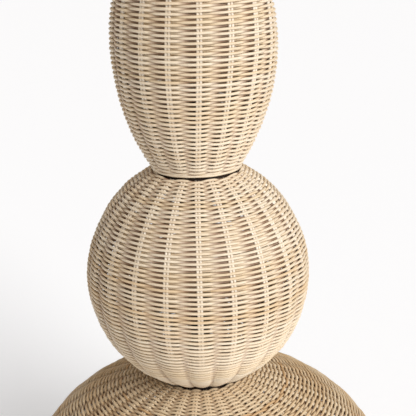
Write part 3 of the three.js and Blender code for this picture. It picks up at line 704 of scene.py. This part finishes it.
FLUTES = 60
FLUTE_DEPTH = 0.0006
CAP_EDGE = 0.0012
CAP_WALL = 0.0034
CAP_PLATE = 0.0025
SKIRT_STEP = 0.0006
SKIRT_LOW = 0.0012
SKIRT_HIGH = 0.0016
GROOVES = (0.0165, 0.0150)
GROOVE_DEPTH = 0.0003
TUBE_RADIUS = 0.008
BORE_ROOM = 0.00015
turned_brass = brass("turned_brass", True)
strip_brass = brass("rolled_brass_strip", False)
cap_low, cap_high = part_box("burner_cap")
cap_wide = cap_high.x
cap_bore = TUBE_RADIUS + BORE_ROOM
under = cap_high.z - CAP_PLATE
cap_outline = [(cap_bore, under), (cap_wide - CAP_WALL, under), (cap_wide - CAP_WALL, cap_low.z)]
cap_outline += [(cap_wide - SKIRT_STEP, cap_low.z), (cap_wide - SKIRT_STEP, cap_low.z + SKIRT_LOW)]
cap_outline += [(cap_wide, cap_low.z + SKIRT_HIGH), (cap_wide, cap_high.z - 2 * CAP_EDGE)]
cap_outline += arc((cap_wide - 2 * CAP_EDGE, cap_high.z - 2 * CAP_EDGE),
                   (2 * CAP_EDGE, 2 * CAP_EDGE), 15, 90, 6)
for groove in GROOVES:
    cap_outline += [(groove + GROOVE_DEPTH, cap_high.z), (groove, cap_high.z - GROOVE_DEPTH)]
    cap_outline += [(groove - GROOVE_DEPTH, cap_high.z)]
cap_outline += [(cap_bore, cap_high.z), (cap_bore, under)]
cap = turn("cap_fluted", cap_outline, steps=4 * FLUTES)
bpy.ops.object.mode_set(mode="EDIT")
bpy.ops.mesh.select_all(action="DESELECT")
bpy.ops.object.mode_set(mode="OBJECT")
for vertex in cap.data.vertices:
    bearing = math.atan2(vertex.co.y, vertex.co.x) / (2 * math.pi) * 4 * FLUTES
    on_rim = math.hypot(vertex.co.x, vertex.co.y) > cap_wide - 0.0001
    vertex.select = on_rim and vertex.co.z < cap_high.z - CAP_EDGE and round(bearing) % 4 == 0
bpy.ops.object.mode_set(mode="EDIT")
shrink = 1 - FLUTE_DEPTH / cap_wide
bpy.ops.transform.resize(value=(shrink, shrink, 1), center_override=(0, 0, cap_low.z))
bpy.ops.object.mode_set(mode="OBJECT")
complete(cap, ["burner_cap"], turned_brass, "cap", 28)

tube_low, tube_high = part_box("wick_tube")
TUBE_BORE = 0.0066
COLLAR_GAP = 0.0003
COLLAR_FOOT = 0.0106
COLLAR_ROUND = 0.0008
COLLAR_MIDDLE = 0.0102
FILLET = 0.0018
FILLET_RISE = 0.0034
TUBE_LIP = (0.0006, 0.0008)
collar_low = cap_high.z + COLLAR_GAP
tube_outline = [(TUBE_BORE, tube_low.z), (TUBE_RADIUS, tube_low.z), (TUBE_RADIUS, collar_low)]
tube_outline += [(COLLAR_FOOT, collar_low)]
tube_outline += arc((COLLAR_MIDDLE, collar_low + COLLAR_ROUND), (COLLAR_ROUND, COLLAR_ROUND), -60, 60, 6)
tube_outline += arc((TUBE_RADIUS + FILLET, collar_low + FILLET_RISE), (FILLET, FILLET), -90, -180, 5)
tube_outline += [(TUBE_RADIUS, tube_high.z - 2 * TUBE_LIP[1])]
tube_outline += arc((TUBE_RADIUS, tube_high.z - TUBE_LIP[1]), TUBE_LIP, -90, 90, 6)
tube_outline += [(TUBE_BORE, tube_high.z), (TUBE_BORE, tube_low.z)]
complete(turn("wick_tube_turned", tube_outline, 72), ["wick_tube"], turned_brass, "cap", 28)

# ------------------------------------------------------------------------------------------
# Wick. Eight glass-fibre yarns each way, plaited round a glass core; its end is charred.


YARNS = 8
YARN = 0.0009
LAP = 0.00035
PLAIT_PITCH = 0.040
PLAIT_RADIUS = 0.0047
CROWN = 0.004
CHARRED = 0.011
wick_low, wick_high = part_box("wick")


def glass_fibre():
    # Plaited glass yarn: dull white with a faint sheen, brown and then black at the burnt end.
    material, tree, shader = new_material("plaited_glass_fibre")
    place = node(tree, "ShaderNodeTexCoord").outputs["Object"]
    height = node(tree, "ShaderNodeSeparateXYZ", {"Vector": place}).outputs["Z"]
    stain = node(tree, "ShaderNodeTexNoise", {"Vector": place, "Scale": 400.0, "Detail": 3.0})
    low = wick_high.z - CHARRED
    rise = node(tree, "ShaderNodeMapRange", {"Value": height, "From Min": low, "From Max": wick_high.z})
    uneven = node(tree, "ShaderNodeMath", {0: stain.outputs["Fac"], 1: 0.35, 2: -0.175},
                  operation="MULTIPLY_ADD")
    burnt = node(tree, "ShaderNodeMath", {0: rise.outputs["Result"], 1: uneven.outputs["Value"]},
                 operation="ADD")
    colour = node(tree, "ShaderNodeValToRGB", {"Fac": burnt.outputs["Value"]},
                  stops=[(0.3, "#e4dfd2"), (0.55, "#b79a72"), (0.75, "#4a3a2c"), (0.95, "#1b1815")])
    tree.links.new(colour.outputs["Color"], shader.inputs["Base Color"])
    bump = node(tree, "ShaderNodeBump", {"Height": stain.outputs["Fac"], "Strength": 0.5, "Distance": 0.0002})
    tree.links.new(bump.outputs["Normal"], shader.inputs["Normal"])
    shader.inputs["Roughness"].default_value = 0.8
    shader.inputs["Sheen Weight"].default_value = 0.2
    return material


glass = glass_fibre()
plait_curve = bpy.data.curves.new("wick_plait", "CURVE")
plait_curve.dimensions = "3D"
plait_curve.bevel_depth = 1.0
plait_curve.bevel_resolution = 1
plait_curve.use_fill_caps = True
crossings = 2 * YARNS * (wick_high.z - wick_low.z) / PLAIT_PITCH
climb = np.linspace(wick_low.z, wick_high.z - YARN, int(crossings * 4))
for hand in (-1, 1):
    for yarn in range(YARNS):
        lap = hand * LAP * np.cos(2 * np.pi * YARNS * (climb - climb[0]) / PLAIT_PITCH)
        gather = 1 - 0.25 * np.clip((climb - climb[-1] + CROWN) / CROWN, 0, 1) ** 2
        radius = (PLAIT_RADIUS + lap) * gather
        angle = hand * 2 * np.pi * (climb - climb[0]) / PLAIT_PITCH + 2 * np.pi * yarn / YARNS
        spline = plait_curve.splines.new("POLY")
        spline.points.add(len(climb) - 1)
        points = np.column_stack([radius * np.cos(angle), radius * np.sin(angle), climb, np.ones(len(climb))])
        spline.points.foreach_set("co", points.ravel())
        spline.points.foreach_set("radius", np.full(len(climb), YARN))
plait = bpy.data.objects.new("wick_plait", plait_curve)
bpy.context.scene.collection.objects.link(plait)
bpy.ops.object.select_all(action="DESELECT")
plait.select_set(True)
bpy.context.view_layer.objects.active = plait
bpy.ops.object.convert(target="MESH")
complete(plait, ["wick"], glass, "wick", 80)
core_outline = [(0, wick_low.z), (PLAIT_RADIUS, wick_low.z), (PLAIT_RADIUS, wick_high.z - CROWN)]
core_outline += arc((0, wick_high.z - CROWN), (PLAIT_RADIUS, 0.8 * CROWN), 0, 90, 8)
core = turn("wick_core", core_outline, 36)
bpy.ops.object.shade_smooth()
core.data.materials.append(glass)
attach(core, "wick")

# ------------------------------------------------------------------------------------------
# Snuffer. A bracket folded from brass strip is soldered to the cap; the bell hangs on a strap
# that turns on a steel pin in its ears.
deburred("snuffer_bracket", strip_brass, "cap", 0.0003)
deburred("snuffer_pin", zinc, "cap", 0.0003)
deburred("snuffer_arm", strip_brass, "snuffer", 0.0004)
deburred("knob_screw", zinc, "snuffer", 0.0003)

BELL_WALL = 0.0015
BELL_CROWN = 0.007
BELL_SHOULDER = 0.006
BELL_BORE = 0.0025
RIM_ROLL = 0.00115
RIM_PROUD = 0.0008
RIM_LOW = 0.0008
RIM_TOP = 0.0026
RIDGES = (0.006, 0.0075, 0.021)
RIDGE_SIZE = (0.0004, 0.0006)
bell_low, bell_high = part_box("snuffer_bell")
bell_wide = bell_high.x - RIM_PROUD
bell_inner = bell_wide - BELL_WALL
crown = bell_high.z - BELL_CROWN
bell_outline = [(BELL_BORE, bell_high.z - BELL_WALL)]
bell_outline += arc((bell_inner - BELL_SHOULDER, crown - BELL_WALL), (BELL_SHOULDER, BELL_CROWN), 90, 0, 10)
bell_outline += [(bell_inner, bell_low.z + RIM_LOW)]
bell_outline += arc((bell_inner + RIM_ROLL, bell_low.z + RIM_ROLL), (RIM_ROLL, RIM_ROLL), 180, 360, 12)
bell_outline += [(bell_wide, bell_low.z + RIM_TOP)]
for ridge in RIDGES:
    bell_outline += arc((bell_wide, bell_low.z + ridge), RIDGE_SIZE, -90, 90, 4)
bell_outline += arc((bell_wide - BELL_SHOULDER, crown), (BELL_SHOULDER, BELL_CROWN), 0, 90, 12)
bell_outline += [(BELL_BORE, bell_high.z), (BELL_BORE, bell_high.z - BELL_WALL)]
complete(turn("bell_spun", bell_outline), ["snuffer_bell"], turned_brass, "snuffer", 28)

# ------------------------------------------------------------------------------------------
# Snuffer knob. Turned from dark hardwood and oiled, so that the fingers don't meet hot brass.


def oiled_hardwood():
    # Oiled walnut: dark brown with darker growth bands about 4 mm apart, fine pores and a low satin.
    material, tree, shader = new_material("oiled_walnut")
    place = node(tree, "ShaderNodeTexCoord").outputs["Object"]
    warp = node(tree, "ShaderNodeTexNoise", {"Vector": place, "Scale": 90.0, "Detail": 2.0})
    rings = node(tree, "ShaderNodeTexWave",
                 {"Vector": place, "Scale": 80.0, "Distortion": 3.0, "Detail": 3.0},
                 wave_type="BANDS", bands_direction="X")
    stretched = node(tree, "ShaderNodeMapping", {"Vector": place, "Scale": (1.0, 1.0, 0.06)})
    pores = node(tree, "ShaderNodeTexNoise",
                 {"Vector": stretched.outputs["Vector"], "Scale": 3500.0, "Detail": 2.0})
    mixed = node(tree, "ShaderNodeMath", {0: rings.outputs["Fac"], 1: warp.outputs["Fac"]},
                 operation="MULTIPLY")
    colour = node(tree, "ShaderNodeValToRGB", {"Fac": mixed.outputs["Value"]},
                  stops=[(0.05, "#3d2415"), (0.35, "#5f3b22"), (0.6, "#7b5030")])
    tree.links.new(colour.outputs["Color"], shader.inputs["Base Color"])
    bump = node(tree, "ShaderNodeBump", {"Height": pores.outputs["Fac"], "Strength": 0.2, "Distance": 0.0001})
    tree.links.new(bump.outputs["Normal"], shader.inputs["Normal"])
    shader.inputs["Roughness"].default_value = 0.38
    shader.inputs["Coat Weight"].default_value = 0.15
    return material


KNOB_RADIUS = 0.008
KNOB_WAIST = 0.0046
KNOB_SEAT = 0.0058
KNOB_BORE = 0.0025
KNOB_BORE_DEPTH = 0.0093
SEAT_ROUND = 0.0005
WAIST_LOW = 0.0016
WAIST_HIGH = 0.0022
LINE_DEPTH = 0.0003
knob_low, knob_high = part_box("snuffer_knob")
bore_end = knob_low.z + KNOB_BORE_DEPTH
ball_middle = knob_high.z - KNOB_RADIUS
knob_outline = [(0, bore_end), (KNOB_BORE, bore_end), (KNOB_BORE, knob_low.z)]
knob_outline += [(KNOB_SEAT - 0.8 * SEAT_ROUND, knob_low.z)]
knob_outline += arc((KNOB_SEAT - SEAT_ROUND, knob_low.z + SEAT_ROUND), (SEAT_ROUND, SEAT_ROUND), -60, 60, 5)
knob_outline += [(KNOB_WAIST, knob_low.z + WAIST_LOW), (KNOB_WAIST, knob_low.z + WAIST_HIGH)]
knob_outline += arc((0, ball_middle), (KNOB_RADIUS, KNOB_RADIUS), -45, -6, 8)
knob_outline += [(KNOB_RADIUS - LINE_DEPTH, ball_middle)]
knob_outline += arc((0, ball_middle), (KNOB_RADIUS, KNOB_RADIUS), 6, 89.99, 14)[:-1]
knob_outline += [(0, knob_high.z)]
complete(turn("knob_turned", knob_outline, 72), ["snuffer_knob"], oiled_hardwood(),
         "snuffer", 40)

# ------------------------------------------------------------------------------------------
# Floor and lights. A pale floor, one soft key from the front right, and a pale surround that is
# a little brighter on the right.
floor_data = bpy.data.meshes.new("floor")
floor_data.from_pydata([(-20, -20, 0), (20, -20, 0), (20, 20, 0), (-20, 20, 0)], [], [(0, 1, 2, 3)])
floor = bpy.data.objects.new("floor", floor_data)
bpy.context.scene.collection.objects.link(floor)
floor_paint, _, floor_shader = new_material("pale_floor")
floor_shader.inputs["Base Color"].default_value = linear("#f2f4f7")
floor_shader.inputs["Roughness"].default_value = 0.8
floor_shader.inputs["Emission Color"].default_value = linear("#f0f4fb")
floor_shader.inputs["Emission Strength"].default_value = 0.3
floor_data.materials.append(floor_paint)

world = bpy.data.worlds.new("studio")
world.use_nodes = True
sky = world.node_tree
look = node(sky, "ShaderNodeTexCoord").outputs["Generated"]
side = node(sky, "ShaderNodeVectorMath", {0: look, 1: (1.0, 0.0, 0.0)}, operation="DOT_PRODUCT")
glow = node(sky, "ShaderNodeMapRange",
            {"Value": side.outputs["Value"], "From Min": -1.0, "To Min": 0.34, "To Max": 0.48})
sky.links.new(glow.outputs["Result"], sky.nodes["Background"].inputs["Strength"])
warmth = node(sky, "ShaderNodeValToRGB", {"Fac": glow.outputs["Result"]},
              stops=[(0.34, "#fff3e6"), (0.48, "#fffaf4")])
sky.links.new(warmth.outputs["Color"], sky.nodes["Background"].inputs["Color"])
bpy.context.scene.world = world

sun_data = bpy.data.lights.new("key", "SUN")
sun_data.energy = 2.55
sun_data.angle = math.radians(35)
sun_data.color = (1.0, 0.985, 0.965)
sun = bpy.data.objects.new("key", sun_data)
aim = Vector((0.9, -1.0, 0.78)).to_track_quat("Z", "Y")
sun.matrix_world = Matrix.LocRotScale(Vector((2, -2, 3)), aim, None)
bpy.context.scene.collection.objects.link(sun)

bpy.context.scene.view_settings.view_transform = "Standard"
